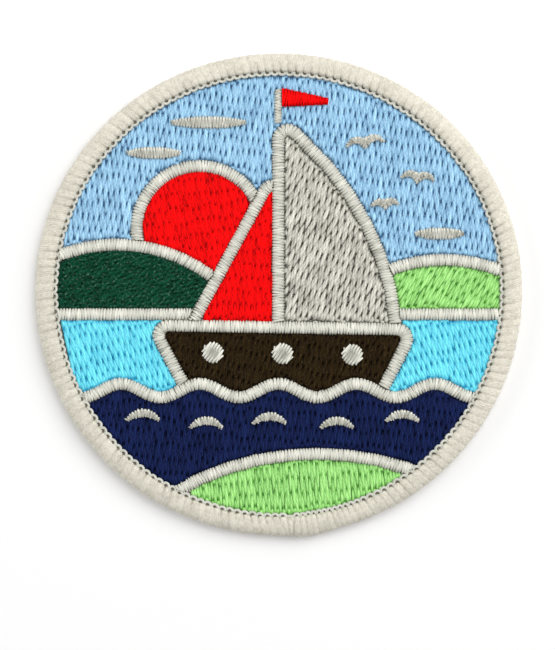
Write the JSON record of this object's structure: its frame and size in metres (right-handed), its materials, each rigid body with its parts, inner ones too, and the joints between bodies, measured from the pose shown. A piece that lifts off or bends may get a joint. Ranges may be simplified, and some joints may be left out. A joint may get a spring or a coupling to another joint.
{
  "type": "embroidered patch",
  "caption": "Round sew-on embroidered patch with a sailing-boat picture, satin outlines and an overlocked border.",
  "frame": {"origin": "under the middle of the patch, on the surface that its border lies on", "axes": "+Z out of the embroidered face, +Y towards the top of the picture"},
  "size_m": [0.076, 0.0764, 0.0032],
  "materials": {
    "twill": "off-white polyester twill",
    "border_thread": "cream overlock yarn, soft and slightly fuzzy",
    "light_blue_thread": "light blue rayon embroidery thread, tatami fill",
    "red_thread": "red rayon embroidery thread",
    "pine_green_thread": "dark green rayon embroidery thread, tatami fill",
    "leaf_green_thread": "light green rayon embroidery thread",
    "cyan_thread": "cyan rayon embroidery thread, tatami fill",
    "grey_thread": "warm grey rayon embroidery thread, open tatami fill",
    "brown_thread": "dark brown rayon embroidery thread, tatami fill",
    "navy_thread": "navy rayon embroidery thread, tatami fill",
    "off_white_thread": "off-white rayon embroidery thread, padded satin stitch"
  },
  "bodies": {
    "root": {"twill_ground": "twill", "merrow_border": "border_thread", "sky_fill": "light_blue_thread", "sun_fill": "red_thread", "far_hill_fill": "pine_green_thread", "near_hill_fill": "leaf_green_thread", "sea_fill": "cyan_thread", "jib_fill": "red_thread", "mainsail_fill": "grey_thread", "hull_fill": "brown_thread", "water_fill": "navy_thread", "shore_fill": "leaf_green_thread", "sun_outline": "off_white_thread", "far_hill_outline": "off_white_thread", "near_hill_outline": "off_white_thread", "horizon_outline": "off_white_thread", "jib_outline": "off_white_thread", "mainsail_outline": "off_white_thread", "hull_outline": "off_white_thread", "wave_outline": "off_white_thread", "shore_outline": "off_white_thread", "masthead": "off_white_thread", "pennant": "red_thread", "gull_1": "off_white_thread", "gull_2": "off_white_thread", "gull_3": "off_white_thread", "cloud_1": "off_white_thread", "cloud_2": "off_white_thread", "cloud_3": "off_white_thread", "wavelet_1": "off_white_thread", "wavelet_2": "off_white_thread", "wavelet_3": "off_white_thread", "wavelet_4": "off_white_thread", "wavelet_5": "off_white_thread", "porthole_1": "off_white_thread", "porthole_2": "off_white_thread", "porthole_3": "off_white_thread"}
  },
  "joints": []
}
